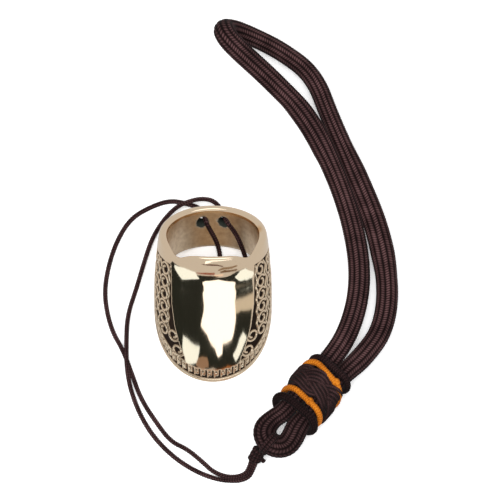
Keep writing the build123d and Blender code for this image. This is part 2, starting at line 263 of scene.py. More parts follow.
def in_ring(places):
    """Places over the table in the ring's own directions: across, forward and depth."""
    back_off, rise = hole_y - places[..., 1], places[..., 2] - hole_height
    forward = back_off * math.sin(ring_tilt) + rise * math.cos(ring_tilt)
    depth = back_off * math.cos(ring_tilt) - rise * math.sin(ring_tilt)
    return places[..., 0], forward, depth


def rising(values, start, blur):
    """Zero below start, one above it, with a soft step between."""
    t = np.clip((values - start) / (2 * blur) + 0.5, 0.0, 1.0)
    return t * t * (3 - 2 * t)


bore_squareness = 0.15
squareness_depth = 8.5 * mm
squareness_blur = 2.75 * mm
rim_dip = 1.8 * mm
rim_dip_angle = math.radians(46.0)
rim_dip_spread = math.radians(17.0)


def squared(share, power):
    """A sine or cosine pushed outwards, for an oval with fuller corners."""
    return np.sign(share) * np.abs(share) ** power


def on_wall(angle, depth, outside):
    """Places on the outer or the bore wall, at angles round from the front."""
    bore_width, bore_front, width, front = wall_sizes(depth)
    half_width, reach = (width, front) if outside else (bore_width, bore_front)
    back = hole_depth / 2 + (back_wall if outside else 0.0)
    upper_share = 1 - rising(depth, squareness_depth, squareness_blur)
    fullness = 0.0 if outside else bore_squareness * upper_share
    power = 1 - np.where(np.cos(angle) > 0, fullness, 0.0)
    across = half_width * squared(np.sin(angle), power)
    forward = (reach - back) / 2 + (reach + back) / 2 * squared(np.cos(angle), power)
    return in_frame(across, forward, depth)


def edge_rise(y):
    """How high the lower edge stands over the table, at a place along Y."""
    foot = hole_y + hole_depth / 2 * math.sin(ring_tilt) - back_height * math.cos(ring_tilt)
    share = np.clip((foot - y) / arch_length, 0.0, 1.0)
    return arch_height * np.maximum(down_the_table(share, 1, arch_rows), 0.0)


def over_edge(places):
    """Height of places above the lower edge."""
    return places[..., 2] - edge_rise(places[..., 1])


halvings = 30


def depth_at(angle, height, outside):
    """Depth below the rim at which a wall has this height above its lower edge."""
    low = np.zeros_like(angle)
    high = np.full_like(angle, wall_end)
    for _ in range(halvings):
        middle = (low + high) / 2
        above = over_edge(on_wall(angle, middle, outside)) > height
        low = np.where(above, middle, low)
        high = np.where(above, high, middle)
    return low


rim_round = 0.85 * mm
foot_round = 0.3 * mm
rim_share = 0.46
edge_strip = 1.1 * mm
fret_height = 2.15 * mm
fret_border = 0.3 * mm
band_top = edge_strip + fret_height + 2 * fret_border
ornament_reach = math.radians(140.0)
fine_columns = 400
plain_columns = 32
rim_steps = 7
flank_steps = 142
fret_steps = 24
foot_steps = 5
bore_steps = 22


def ring_form():
    """The smooth casting as one closed grid, columns round the hole and rows round its wall."""
    fine = np.linspace(-ornament_reach, ornament_reach, fine_columns)
    plain = np.linspace(ornament_reach, 2 * math.pi - ornament_reach, plain_columns + 2)[1:-1]
    angle = np.concatenate([fine, plain])
    dip = rim_dip * np.exp(-((np.abs(angle) - rim_dip_angle) / rim_dip_spread) ** 2)
    thick = np.linalg.norm(on_wall(angle, dip, True) - on_wall(angle, dip, False), axis=-1)
    rows = []

    def across_wall(share, depth):
        inner, outer = on_wall(angle, depth, False), on_wall(angle, depth, True)
        rows.append(inner + (outer - inner) * np.asarray(share)[..., None])

    rounding = np.minimum(rim_round, rim_share * thick)
    start = dip + rounding
    shoulder = np.maximum(depth_at(angle, band_top, True), start * 1.2)
    for step in np.linspace(0, 1, flank_steps, endpoint=False):
        rows.append(on_wall(angle, start + (shoulder - start) * step, True))
    foot = depth_at(angle, foot_round, True)
    for step in np.linspace(0, 1, fret_steps, endpoint=False):
        rows.append(on_wall(angle, shoulder + (foot - shoulder) * step, True))
    inner_foot = on_wall(angle, depth_at(angle, 0.0, False), False)
    outer_foot = on_wall(angle, depth_at(angle, 0.0, True), True)
    foot_way = inner_foot - outer_foot
    foot_way /= np.linalg.norm(foot_way, axis=-1)[..., None]
    for step in np.linspace(0, 1, foot_steps):
        lean = step * math.pi / 2
        height = foot_round * (1 - math.sin(lean))
        inward = foot_way * foot_round * (1 - math.cos(lean))
        rows.append(on_wall(angle, depth_at(angle, height, True), True) + inward)
    rows.append((rows[-1] + inner_foot) / 2)
    for step in np.linspace(0, 1, bore_steps):
        end = depth_at(angle, 0.0, False)
        rows.append(on_wall(angle, end + (start - end) * step, False))
    for step in np.linspace(0, 1, rim_steps)[1:]:
        lean = step * math.pi / 2
        across_wall(rounding / thick * (1 - math.cos(lean)), dip + rounding * (1 - math.sin(lean)))
    for step in np.linspace(1, 0, rim_steps)[:-1]:
        lean = step * math.pi / 2
        across_wall(1 - rounding / thick * (1 - math.cos(lean)), dip + rounding * (1 - math.sin(lean)))
    places = np.stack(rows)
    count, columns = places.shape[:2]
    corner = np.arange(count * columns).reshape(count, columns)
    below = np.roll(corner, -1, axis=0)
    faces = np.stack([corner, np.roll(corner, -1, axis=1), np.roll(below, -1, axis=1), below], axis=-1)
    places, faces = places.reshape(-1, 3).tolist(), faces.reshape(-1, 4).tolist()
    return new_mesh("thumb_ring_cast", places, [], faces)


def settle(piece):
    """Turns a piece's modifiers into plain mesh."""
    graph = bpy.context.evaluated_depsgraph_get()
    mesh = bpy.data.meshes.new_from_object(piece.evaluated_get(graph))
    piece.modifiers.clear()
    piece.data = mesh
    mesh.name = piece.name


def point_values(mesh, name, values):
    """Stores one number for each point of a mesh."""
    numbers = np.ravel(values).astype(np.float32)
    mesh.attributes.new(name, "FLOAT", "POINT").data.foreach_set("value", numbers)


def point_places(mesh):
    """The places of a mesh's points as an array."""
    places = np.zeros(len(mesh.vertices) * 3)
    mesh.vertices.foreach_get("co", places)
    return places.reshape(-1, 3)


ring = linked("thumb_ring_cast", ring_form())
lace_hole_diameter = 2.5 * mm
lace_hole_spacing = 5.1 * mm
lace_hole_outlet = 1.7 * mm
lace_hole_taper = (lace_hole_diameter - lace_hole_outlet) / 2
lace_hole_below_rim = 3.0 * mm
lace_hole_lean = math.radians(18.0)
lace_hole_turn = ring_tilt + lace_hole_lean
lace_hole_way = np.array((0.0, -math.sin(lace_hole_turn), math.cos(lace_hole_turn)))
middle_of_back_wall = -(hole_depth + back_wall) / 2
lace_hole_middles = []
for side in (-1, 1):
    across = side * lace_hole_spacing / 2
    lace_hole_middles.append(in_frame(across, middle_of_back_wall, lace_hole_below_rim))
drill_sides = 40
drills = []
for hole_middle in lace_hole_middles:
    drill_mesh = bmesh.new()
    bmesh.ops.create_cone(
        drill_mesh, cap_ends=True, segments=drill_sides, radius1=lace_hole_outlet / 2 - lace_hole_taper,
        radius2=lace_hole_diameter / 2 + lace_hole_taper, depth=3 * back_wall)
    drill_data = bpy.data.meshes.new("drill")
    drill_mesh.to_mesh(drill_data)
    drill = linked("drill", drill_data)
    drill.location = Vector(hole_middle)
    drill.rotation_euler = (lace_hole_turn, 0.0, 0.0)
    cut = ring.modifiers.new("lace_hole", "BOOLEAN")
    cut.operation = "DIFFERENCE"
    cut.object = drill
    cut.solver = "EXACT"
    drills.append(drill)
settle(ring)
for drill in drills:
    bpy.data.objects.remove(drill)

# Each row is a depth as a share of ring_length and half the width of the polished face, in mm.
face_panel_rows = np.array((
    (-0.10, 10.2), (0.39, 10.1), (0.56, 9.4), (0.70, 8.2), (0.80, 7.0), (1.20, 5.5)))
rim_band = 3.9 * mm
back_panel_reach = 10.0 * mm
border_blur = 0.12 * mm
outside_ratio = 0.975
outside_blur = 0.005
bore_ratio_limit = 1.012
bore_ratio_blur = 0.01
bore_start = 1.2 * mm
bore_start_blur = 0.5 * mm
hole_shade_reach = 0.16 * mm
hole_shade_blur = 0.05 * mm


def ground_share(places):
    """How far each point of the outside belongs to the sunk ground behind the ornament."""
    across, forward, depth = in_ring(places)
    height = over_edge(places)
    half_panel = np.interp(depth / ring_length, *face_panel_rows.T) * mm
    in_face = (1 - rising(np.abs(across), half_panel, border_blur)) * rising(forward, 0.0, border_blur)
    in_face *= rising(height, band_top - fret_border, border_blur)
    ground = rising(depth, rim_band, border_blur) * rising(forward, -back_panel_reach, border_blur)
    ground *= rising(height, edge_strip, border_blur)
    in_border = rising(height, band_top - fret_border, border_blur)
    in_border *= 1 - rising(height, band_top, border_blur)
    width, front = wall_sizes(np.clip(depth, 0, wall_end))[2:]
    back = hole_depth / 2 + back_wall
    ratio = np.hypot(across / width, (forward - (front - back) / 2) / ((front + back) / 2))
    return ground * (1 - in_face) * (1 - in_border) * rising(ratio, outside_ratio, outside_blur)


# Numbers on the casting's points for its relief and brass: the sunk ground, the matte bore, painted shade
# on the walls of the lace holes and a tan stain on the rim.
ring_places = point_places(ring.data)
point_values(ring.data, "ground", ground_share(ring_places))
ring_across, ring_forward, ring_depth = in_ring(ring_places)
bore_width, bore_front = wall_sizes(np.clip(ring_depth, 0, wall_end))[:2]
from_bore_middle = ring_forward - (bore_front - hole_depth / 2) / 2
bore_ratio = np.hypot(ring_across / bore_width, from_bore_middle / ((bore_front + hole_depth / 2) / 2))
in_bore = 1 - rising(bore_ratio, bore_ratio_limit, bore_ratio_blur)
in_bore *= rising(ring_depth, bore_start, bore_start_blur)
point_values(ring.data, "bore", in_bore)
# Painted shade: the walls of the lace holes are coloured dark and matte, standing in for the shade inside
# them.
hole_shade_share = 0.0 * ring_depth
for hole_middle in lace_hole_middles:
    from_middle = ring_places - hole_middle
    on_axis = from_middle @ lace_hole_way
    off_axis = np.linalg.norm(from_middle - on_axis[:, None] * lace_hole_way, axis=-1)
    hole_radius = (lace_hole_diameter + lace_hole_outlet) / 4 + on_axis * lace_hole_taper / back_wall
    near_axis = 1 - rising(off_axis - hole_radius, hole_shade_reach, hole_shade_blur)
    hole_shade_share += near_axis * (1 - rising(np.abs(on_axis), 2.0 * back_wall, 0.5 * mm))
point_values(ring.data, "soot", np.minimum(hole_shade_share, 1.0))
stain_radius = 1.3 * mm
stain_blur = 1.2 * mm
stain_stretch = (1.6, 1.0, 1.0)
stain_middle = on_wall(np.radians(98.0), 0.5 * mm, False)
from_stain = np.linalg.norm((ring_places - stain_middle) * stain_stretch, axis=-1)
point_values(ring.data, "stain", 1 - rising(from_stain, stain_radius, stain_blur))

scroll_radius = 1.3 * mm
scroll_stroke = 0.56 * mm
scroll_pitch = 3.4 * mm
scroll_margin = 1.9 * mm
# The columns of scrolls, and a row for each scroll at the corners of the face with its depth
# below the rim, all in degrees round from the front.
scroll_columns = (58.0, 76.0, 94.0, 112.0, 128.0)
corner_scrolls = ((38.0, 27.3 * mm), (43.0, 23.2 * mm))
fret_pitch = 1.65 * mm
fret_width = 1.25 * mm
fret_stroke = 0.42 * mm
fret_degrees = 115
stroke_blur = 0.12 * mm
relief_height = 0.42 * mm


small_turn = 0.01


def local_step(angle, depth):
    """The length on the outside of one radian round the ring at this place."""
    here, ahead = on_wall(np.array([angle, angle + small_turn]), np.array([depth, depth]), True)
    return np.linalg.norm(ahead - here) / small_turn


class Strokes:
    """Lines of raised ornament, gathered into one mesh of edges."""

    def __init__(self):
        self.places = []
        self.edges = []

    def add_line(self, angles, depths):
        """Adds one line through places on the outside."""
        start = len(self.places)
        self.places += on_wall(angles, depths, True).tolist()
        self.edges += [(start + i, start + i + 1) for i in range(len(angles) - 1)]

    def draw(self, angle, depth, path):
        """Adds a path of (round, down) offsets from a place on the outside."""
        arc = local_step(angle, depth)
        angles = np.array([angle + a / arc for a, b in path])
        self.add_line(angles, np.array([depth + b for a, b in path]))

    def draw_on_edge(self, angle, height, path):
        """Adds a path of (round, up) offsets from a place above the lower edge."""
        arc = local_step(angle, float(depth_at(np.array([angle]), height, True)[0]))
        angles = np.array([angle + a / arc for a, b in path])
        self.add_line(angles, depth_at(angles, height + np.array([b for a, b in path]), True))

    def finished(self, name):
        """The strokes as an object."""
        return linked(name, new_mesh(name, self.places, self.edges, []))


curl_points = 30
curl_start = -60.0
curl_sweep = 400.0


def curl_path(hand, turn, size):
    """A cloud curl: a hooked tail, an open arc and the inward hook at its end."""
    path = []
    for step in np.linspace(0, 1, curl_points):
        sweep = turn + hand * math.radians(curl_start + curl_sweep * step)
        radius = size * (1.28 - 0.2 * step - 0.62 * step ** 2)
        path.append((radius * math.cos(sweep), radius * math.sin(sweep)))
    return path


# Each row is where a winding stem runs down between two columns of scrolls, in degrees round
# from the front, and how strongly it winds.
stem_rows = ((50.0, 0.5), (67.0, 1.0), (85.0, 1.0), (103.0, 1.0), (120.0, 1.0))
stem_sway = 0.45 * mm
stem_step = 0.35 * mm
stem_start = 0.5 * mm
stem_end_gap = 0.4 * mm
short_stem_end = 18.0 * mm
first_curl_share = 0.6
first_curl_depth = 1.3 * mm
scrolls = Strokes()
for side in (-1, 1):
    for degrees, strength in stem_rows:
        angle = side * math.radians(degrees)
        deepest = float(depth_at(np.array([angle]), band_top, True)[0]) - rim_band - stem_end_gap
        if degrees < scroll_columns[0]:
            deepest = min(deepest, short_stem_end)
        path = []
        for down in np.arange(stem_start, deepest, stem_step):
            wind = math.sin(2 * math.pi * down / scroll_pitch + degrees)
            path.append((stem_sway * strength * wind, down))
        scrolls.draw(angle, rim_band, path)
    for degrees, depth in corner_scrolls:
        corner_curl = curl_path(-side, math.radians(90.0), scroll_radius)
        scrolls.draw(side * math.radians(degrees), depth, corner_curl)
    for column, degrees in enumerate(scroll_columns):
        angle = side * math.radians(degrees)
        lowest = float(depth_at(np.array([angle]), band_top, True)[0]) - scroll_margin
        depth = rim_band + scroll_margin + (column % 2) * scroll_pitch / 2
        turned = 1 if column % 2 else -1
        if column % 2:
            first_curl = curl_path(side * turned, 0.0, scroll_radius * first_curl_share)
            scrolls.draw(angle, rim_band + first_curl_depth, first_curl)
        curl = curl_path(side * turned, math.radians(90.0 * turned), scroll_radius)
        while depth <= lowest:
            scrolls.draw(angle, depth, curl)
            depth += scroll_pitch
scroll_lines = scrolls.finished("scroll_lines")

frets = Strokes()
fret_middle = edge_strip + fret_border + fret_height / 2
for side in (-1, 1):
    angles = side * np.radians(np.arange(0, fret_degrees + 1, dtype=float))
    course = on_wall(angles, depth_at(angles, fret_middle, True), True)
    steps = np.linalg.norm(np.diff(course, axis=0), axis=-1)
    lengths = np.concatenate([[0.0], np.cumsum(steps)])
    half, top = fret_width / 2 - fret_stroke / 2, fret_height / 2 - fret_stroke / 3
    key = [(-half, -top), (-half, top), (half, top), (half, -top * 0.5), (0.0, -top * 0.5)]
    key.append((0.0, top * 0.2))
    for due in np.arange(fret_pitch / 2, lengths[-1], fret_pitch):
        frets.draw_on_edge(float(np.interp(due, lengths, angles)), fret_middle, key)
fret_lines = frets.finished("fret_lines")


def add(tree, kind, inputs=None, **settings):
    """Adds a node with its settings, links or fills its inputs and returns its first output."""
    node = tree.nodes.new(kind)
    for name, value in settings.items():
        setattr(node, name, value)
    for key, value in (inputs or {}).items():
        if isinstance(value, bpy.types.NodeSocket):
            tree.links.new(value, node.inputs[key])
        else:
            node.inputs[key].default_value = value
    return node.outputs[0]


def calc(tree, operation, *values):
    """One step of arithmetic on sockets and numbers."""
    return add(tree, "ShaderNodeMath", dict(enumerate(values)), operation=operation)


def stored(tree, geometry, name, value, kind="FLOAT"):
    """The geometry with a value stored on its points."""
    inputs = {"Geometry": geometry, "Name": name, "Value": value}
    return add(tree, "GeometryNodeStoreNamedAttribute", inputs, data_type=kind, domain="POINT")


def named(tree, name, kind="FLOAT"):
    """A value stored on a geometry's points, for a node group."""
    return add(tree, "GeometryNodeInputNamedAttribute", {"Name": name}, data_type=kind)


def vector_calc(tree, operation, inputs):
    """One step of vector arithmetic."""
    return add(tree, "ShaderNodeVectorMath", inputs, operation=operation)


def group_input(tree, inputs):
    """Adds named inputs to a node group and returns the input node's outputs."""
    for name, kind in inputs:
        tree.interface.new_socket(name=name, in_out="INPUT", socket_type="NodeSocket" + kind)
    tree.interface.new_socket(name="Result", in_out="OUTPUT", socket_type="NodeSocketGeometry")
    return tree.nodes.new("NodeGroupInput").outputs


def use_group(piece, tree, **values):
    """Runs a node group on a piece, with its named inputs set, and keeps the mesh."""
    modifier = piece.modifiers.new(tree.name, "NODES")
    modifier.node_group = tree
    sockets = {s.name: s.identifier for s in tree.interface.items_tree if s.in_out == "INPUT"}
    for name, value in values.items():
        modifier[sockets[name.replace("_", " ").capitalize()]] = value
    settle(piece)


def finish_group(tree, geometry, material):
    """Ends a node group with realized instances, its material and the output."""
    geometry = add(tree, "GeometryNodeRealizeInstances", {"Geometry": geometry})
    geometry = add(tree, "GeometryNodeSetMaterial", {"Geometry": geometry, "Material": material})
    tree.nodes.new("NodeGroupOutput")
    tree.links.new(geometry, tree.nodes["Group Output"].inputs[0])


def near_strokes(tree, lines, half_width, blur):
    """One on the strokes of a line object and zero away from them."""
    strokes = add(tree, "GeometryNodeObjectInfo", {"Object": lines}).node.outputs["Geometry"]
    near = add(tree, "GeometryNodeProximity", {0: strokes}, target_element="EDGES").node.outputs["Distance"]
    inner, outer = calc(tree, "SUBTRACT", half_width, blur), calc(tree, "ADD", half_width, blur)
    limits = {"Value": near, "From Min": inner, "From Max": outer, "To Min": 1.0, "To Max": 0.0}
    return add(tree, "ShaderNodeMapRange", limits, interpolation_type="SMOOTHSTEP")


relief = bpy.data.node_groups.new("cast_relief", "GeometryNodeTree")
given = group_input(relief, (
    ("Casting", "Geometry"), ("Scrolls", "Object"), ("Frets", "Object"), ("Scroll half", "Float"),
    ("Fret half", "Float"), ("Blur", "Float"), ("Height", "Float"), ("Brass", "Material")))
on_scroll = near_strokes(relief, given["Scrolls"], given["Scroll half"], given["Blur"])
on_fret = near_strokes(relief, given["Frets"], given["Fret half"], given["Blur"])
flat_share = calc(relief, "SUBTRACT", 1.0, calc(relief, "MAXIMUM", on_scroll, on_fret))
recess = calc(relief, "MULTIPLY", named(relief, "ground"), flat_share)
normal = add(relief, "GeometryNodeInputNormal")
sink = calc(relief, "MULTIPLY", calc(relief, "MULTIPLY", recess, given["Height"]), -1.0)
shift = vector_calc(relief, "SCALE", {0: normal, "Scale": sink})
cast = stored(relief, given["Casting"], "recess", recess)
cast = add(relief, "GeometryNodeSetPosition", {"Geometry": cast, "Offset": shift})
cast = add(relief, "GeometryNodeSetShadeSmooth", {"Geometry": cast})
finish_group(relief, cast, given["Brass"])


def blend_stops(tree, factor, *stops):
    """A colour ramp through (place, colour) stops."""
    colour = add(tree, "ShaderNodeValToRGB", {"Fac": factor})
    ramp = colour.node.color_ramp
    while len(ramp.elements) < len(stops):
        ramp.elements.new(1.0)
    for element, (place, shade) in zip(ramp.elements, stops):
        element.position = place
        element.color = (*shade, 1.0)
    return colour


def noise(tree, scale, detail=3.0):
    """Noise on the object's own coordinates."""
    place = add(tree, "ShaderNodeTexCoord").node.outputs["Object"]
    return add(tree, "ShaderNodeTexNoise", {"Vector": place, "Scale": scale, "Detail": detail})


def mix_in(tree, share, first, second):
    """The first colour with a share of the second mixed in."""
    return add(tree, "ShaderNodeMixRGB", {"Fac": share, "Color1": first, "Color2": second})


def kept_number(tree, name):
    """A number stored on a mesh's points, for a material."""
    return add(tree, "ShaderNodeAttribute", attribute_name=name).node.outputs["Fac"]


brass = new_material(
    "antiqued_brass", (0.80, 0.64, 0.42), metallic=1.0, roughness=0.06, specular_ior_level=0.0)
metal = brass.node_tree
brass_surface = metal.nodes["Principled BSDF"]
recess_value = kept_number(metal, "recess")
bore_value = kept_number(metal, "bore")
hole_shade_value = kept_number(metal, "soot")
stain_value = kept_number(metal, "stain")
grain = noise(metal, 900.0)
# The dark colour of the painted shade in the lace holes.
hole_shade_colour = (0.03, 0.035, 0.03, 1.0)
stain_colour = (0.72, 0.38, 0.12, 1.0)
tarnish = calc(metal, "MULTIPLY_ADD", grain, 0.16, calc(metal, "SUBTRACT", recess_value, 0.08))
metal_colour = blend_stops(
    metal, tarnish, (0.02, (0.92, 0.72, 0.51)), (0.4, (0.34, 0.24, 0.15)),
    (0.8, (0.018, 0.012, 0.009)))
bore_colour = blend_stops(metal, grain, (0.3, (0.62, 0.46, 0.31)), (0.7, (0.80, 0.64, 0.46)))
mixed = mix_in(metal, bore_value, metal_colour, bore_colour)
mixed = mix_in(metal, hole_shade_value, mixed, hole_shade_colour)
mixed = mix_in(metal, calc(metal, "MULTIPLY", stain_value, 0.9), mixed, stain_colour)
metal.links.new(mixed, brass_surface.inputs["Base Color"])
# The patina in the hollows and the painted shade in the lace holes are both matte.
matte = calc(metal, "MAXIMUM", hole_shade_value, calc(metal, "MULTIPLY", recess_value, 0.9))
metal.links.new(calc(metal, "SUBTRACT", 1.0, matte), brass_surface.inputs["Metallic"])
rough = 0.07
for value, added in ((recess_value, 0.40), (bore_value, 0.33), (hole_shade_value, 0.4)):
    rough = calc(metal, "ADD", rough, calc(metal, "MULTIPLY", value, added))
metal.links.new(rough, brass_surface.inputs["Roughness"])
use_group(
    ring, relief, scrolls=scroll_lines, frets=fret_lines, scroll_half=scroll_stroke / 2,
    fret_half=fret_stroke / 2, blur=stroke_blur, height=relief_height, brass=brass)
for lines in (scroll_lines, fret_lines):
    bpy.data.objects.remove(lines)
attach(ring, "root")
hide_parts("thumb_ring")

# The wrist cord is one thick round cord knitted of brown polyester. It makes the wrist loop,
# passes through the barrel as two strands side by side and turns in the eye.
barrel_height = 4.55
wrist_cord_diameter = 4.7 * mm
# Control points of the cord's line, as X, Y and Z in mm.
wrist_route = [
    (22.95, -22.57, barrel_height), (28.55, -16.83, barrel_height), (33.4, -8.7, 3.6),
    (35.9, 2.5, 2.6), (34.6, 15.0, 2.4), (29.9, 29.5, 3.2), (22.7, 43.5, 5.6), (13.4, 52.6, 8.0),
    (6.6, 58.6, 9.2), (3.5, 61.8, 9.4), (2.6, 64.2, 7.6), (3.3, 65.0, 4.6), (5.4, 65.1, 2.6),
    (9.0, 63.9, 2.4), (16.5, 60.2, 2.4), (24.6, 54.0, 2.4), (28.6, 43.0, 2.4), (35.3, 28.0, 2.4),
    (40.2, 15.5, 2.4), (42.7, 1.5, 2.4), (41.2, -9.0, 2.7), (36.3, -15.8, 3.8),
    (32.00, -19.80, barrel_height), (27.90, -24.17, barrel_height + 0.01),
    (24.00, -28.75, barrel_height), (20.47, -32.83, barrel_height - 0.02),
    (19.40, -35.45, 4.3), (17.80, -37.60, 4.0), (15.10, -37.85, 3.9), (12.75, -35.95, 3.9),
    (12.45, -33.45, 4.0), (14.40, -31.15, 4.3), (16.83, -29.71, barrel_height - 0.02),
    (19.40, -26.74, barrel_height + 0.01), (22.30, -23.33, barrel_height)]


def route_line(name, route):
    """The smooth line through a route's points, read from a NURBS curve as a mesh of edges."""
    curve = bpy.data.curves.new(name, "CURVE")
    curve.dimensions = "3D"
    curve.resolution_u = 16
    spline = curve.splines.new("NURBS")
    spline.points.add(len(route) - 1)
    for point, place in zip(spline.points, route):
        point.co = (place[0] * mm, place[1] * mm, place[2] * mm, 1.0)
    spline.order_u = 3
    spline.use_endpoint_u = True
    holder = linked(name, curve)
    graph = bpy.context.evaluated_depsgraph_get()
    mesh = bpy.data.meshes.new_from_object(holder.evaluated_get(graph))
    bpy.data.objects.remove(holder)
    return linked(name, mesh)


# Every cord is a tube along its line, with columns of slanted stitches round it. The stitches raise its
# surface, and a stored value paints shade in the grooves between them and on the cord's sides, and light on
# their upper tops.
groove_power = 0.6
stitch_depth = 0.6
stitch_floor = 0.32
level_crest = 0.6
knit = bpy.data.node_groups.new("knitted_cord", "GeometryNodeTree")
given = group_input(knit, (
    ("Line", "Geometry"), ("Diameter", "Float"), ("Step", "Float"), ("Sides", "Int"),
    ("Columns", "Float"), ("Stitch", "Float"), ("Slant", "Float"), ("Relief", "Float"),
    ("Falloff", "Float"), ("Plain", "Float"), ("Yarn", "Material")))
line = add(knit, "GeometryNodeMeshToCurve", {"Mesh": given["Line"]})
line = add(knit, "GeometryNodeResampleCurve", {"Curve": line, "Length": given["Step"]}, mode="LENGTH")
line = stored(knit, line, "centre", add(knit, "GeometryNodeInputPosition"), "FLOAT_VECTOR")
line = stored(knit, line, "along", add(knit, "GeometryNodeSplineParameter").node.outputs["Length"])
radius = calc(knit, "MULTIPLY", given["Diameter"], 0.5)
profile = add(
    knit, "GeometryNodeCurvePrimitiveCircle", {"Resolution": given["Sides"], "Radius": radius})
turn_share = calc(knit, "DIVIDE", add(knit, "GeometryNodeInputIndex"), given["Sides"])
profile = stored(knit, profile, "around", turn_share)
tube = add(knit, "GeometryNodeCurveToMesh", {"Curve": line, "Profile Curve": profile, "Fill Caps": True})
centre = named(knit, "centre", "FLOAT_VECTOR")
in_column = calc(knit, "FRACT", calc(knit, "MULTIPLY", named(knit, "around"), given["Columns"]))
leg = calc(knit, "ABSOLUTE", calc(knit, "SINE", calc(knit, "MULTIPLY", in_column, 2 * math.pi)))
leg = calc(knit, "MAXIMUM", calc(knit, "POWER", leg, groove_power), given["Plain"])
off_middle = calc(knit, "ABSOLUTE", calc(knit, "SUBTRACT", in_column, 0.5))
slanted = calc(knit, "MULTIPLY", off_middle, given["Slant"])
beat = calc(knit, "ADD", calc(knit, "DIVIDE", named(knit, "along"), given["Stitch"]), slanted)
wave = calc(knit, "MULTIPLY_ADD", calc(knit, "COSINE", calc(knit, "MULTIPLY", beat, 2 * math.pi)), 0.5, 0.5)
crest = calc(knit, "MULTIPLY", leg, calc(knit, "MULTIPLY_ADD", wave, stitch_depth, stitch_floor))
growth = calc(knit, "MULTIPLY", calc(knit, "SUBTRACT", crest, level_crest), given["Relief"])
growth = calc(knit, "ADD", 1.0, calc(knit, "DIVIDE", growth, radius))
spread = named(knit, "spread")
wider, lower = calc(knit, "ADD", 1.0, spread), calc(knit, "SUBTRACT", 1.0, spread)
flattening = add(knit, "ShaderNodeCombineXYZ", {"X": wider, "Y": wider, "Z": lower})
from_centre = vector_calc(knit, "SUBTRACT", {0: add(knit, "GeometryNodeInputPosition"), 1: centre})
reach = vector_calc(knit, "SCALE", {0: from_centre, "Scale": growth})
reach = vector_calc(knit, "MULTIPLY", {0: reach, 1: flattening})
place = vector_calc(knit, "ADD", {0: centre, 1: reach})
# Painted light and shade: the stored value stays full on the cord's top and drops on its sides by the
# painted falloff, as if lit from above.
upward = add(knit, "ShaderNodeSeparateXYZ", {"Vector": from_centre}).node.outputs["Z"]
upward = calc(knit, "DIVIDE", upward, radius)
painted_side_light = calc(knit, "SUBTRACT", 1.0, given["Falloff"])
painted_top_light = calc(knit, "MULTIPLY_ADD", upward, given["Falloff"], painted_side_light)
tube = stored(knit, tube, "crest", calc(knit, "MULTIPLY", crest, painted_top_light))
tube = add(knit, "GeometryNodeSetPosition", {"Geometry": tube, "Position": place})
tube = add(knit, "GeometryNodeSetShadeSmooth", {"Geometry": tube})
finish_group(knit, tube, given["Yarn"])


def yarn_material(name, shaded_colour, middle, light):
    """Matte polyester yarn, with painted shade between its stitches, on its sides and where it is shaded,
    and painted light on its upper stitch tops.
    """
    material = new_material(name, middle, roughness=0.62, specular_ior_level=0.05)
    tree = material.node_tree
    surface = tree.nodes["Principled BSDF"]
    height = kept_number(tree, "crest")
    patches = noise(tree, 260.0)
    height = calc(tree, "ADD", height, calc(tree, "MULTIPLY_ADD", patches, 0.5, -0.25))
    # The colour runs from painted shade in the grooves to painted light on the stitch tops.
    colour = blend_stops(tree, height, (0.08, shaded_colour), (0.45, middle), (0.95, light))
    colour = mix_in(tree, kept_number(tree, "shade"), colour, (*shaded_colour, 1.0))
    tree.links.new(colour, surface.inputs["Base Color"])
    fibres = noise(tree, 5200.0, 2.0)
    bump = add(tree, "ShaderNodeBump", {"Height": fibres, "Strength": 0.35, "Distance": 0.06 * mm})
    tree.links.new(bump, surface.inputs["Normal"])
    return material


brown_yarn = yarn_material(
    "brown_yarn", (0.003, 0.0012, 0.0012), (0.024, 0.011, 0.011), (0.145, 0.074, 0.075))
orange_yarn = yarn_material(
    "orange_yarn", (0.15, 0.032, 0.002), (0.46, 0.13, 0.008), (0.74, 0.27, 0.025))

wrist_cord = route_line("knitted_wrist_cord", wrist_route)
wrist_line = point_places(wrist_cord.data)
barrel_middle = np.array((24.4, -24.6, barrel_height)) * mm
from_barrel = np.linalg.norm(wrist_line - barrel_middle, axis=-1)
wrist_y = wrist_line[:, 1]
left_strand_end = 0.36
on_left_strand = 1 - rising(np.arange(len(wrist_line)) / len(wrist_line), left_strand_end, 0.03)
# The cord is wider than high above the barrel, on the left strand near the top of the loop and
# where it meets the right one, on the right strand where it lies against the left, and in the eye.
spread_above_barrel = rising(wrist_y, -19.0 * mm, 3.0 * mm)
spread_above_barrel *= 1 - rising(from_barrel, 48.0 * mm, 22.0 * mm)
spread_near_top = on_left_strand * rising(wrist_y, 32.0 * mm, 12.0 * mm)
spread_at_meeting = on_left_strand * (1 - rising(np.abs(wrist_y - 40.0 * mm), 6.0 * mm, 2.0 * mm))
touching = 1 - rising(np.abs(wrist_y - 20.0 * mm), 13.0 * mm, 4.0 * mm)
spread_where_touching = (1 - on_left_strand) * touching
spread_in_eye = 1 - rising(wrist_y, -32.0 * mm, 1.5 * mm)
wrist_spread = 0.14 * spread_above_barrel + 0.12 * spread_near_top + 0.08 * spread_at_meeting
wrist_spread += 0.14 * spread_where_touching + 0.2 * spread_in_eye
point_values(wrist_cord.data, "spread", wrist_spread)
point_values(wrist_cord.data, "shade", 0.45 * (1 - rising(wrist_y, -18.0 * mm, 5.0 * mm)))
# How far painted shade darkens the cords' sides against their tops.
side_painted_falloff = 0.32
use_group(
    wrist_cord, knit, diameter=wrist_cord_diameter, step=0.2 * mm, sides=84, columns=6.0,
    stitch=0.6 * mm, slant=1.6, relief=0.16 * mm, falloff=side_painted_falloff, yarn=brown_yarn)
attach(wrist_cord, "root")
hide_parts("wrist_cord")

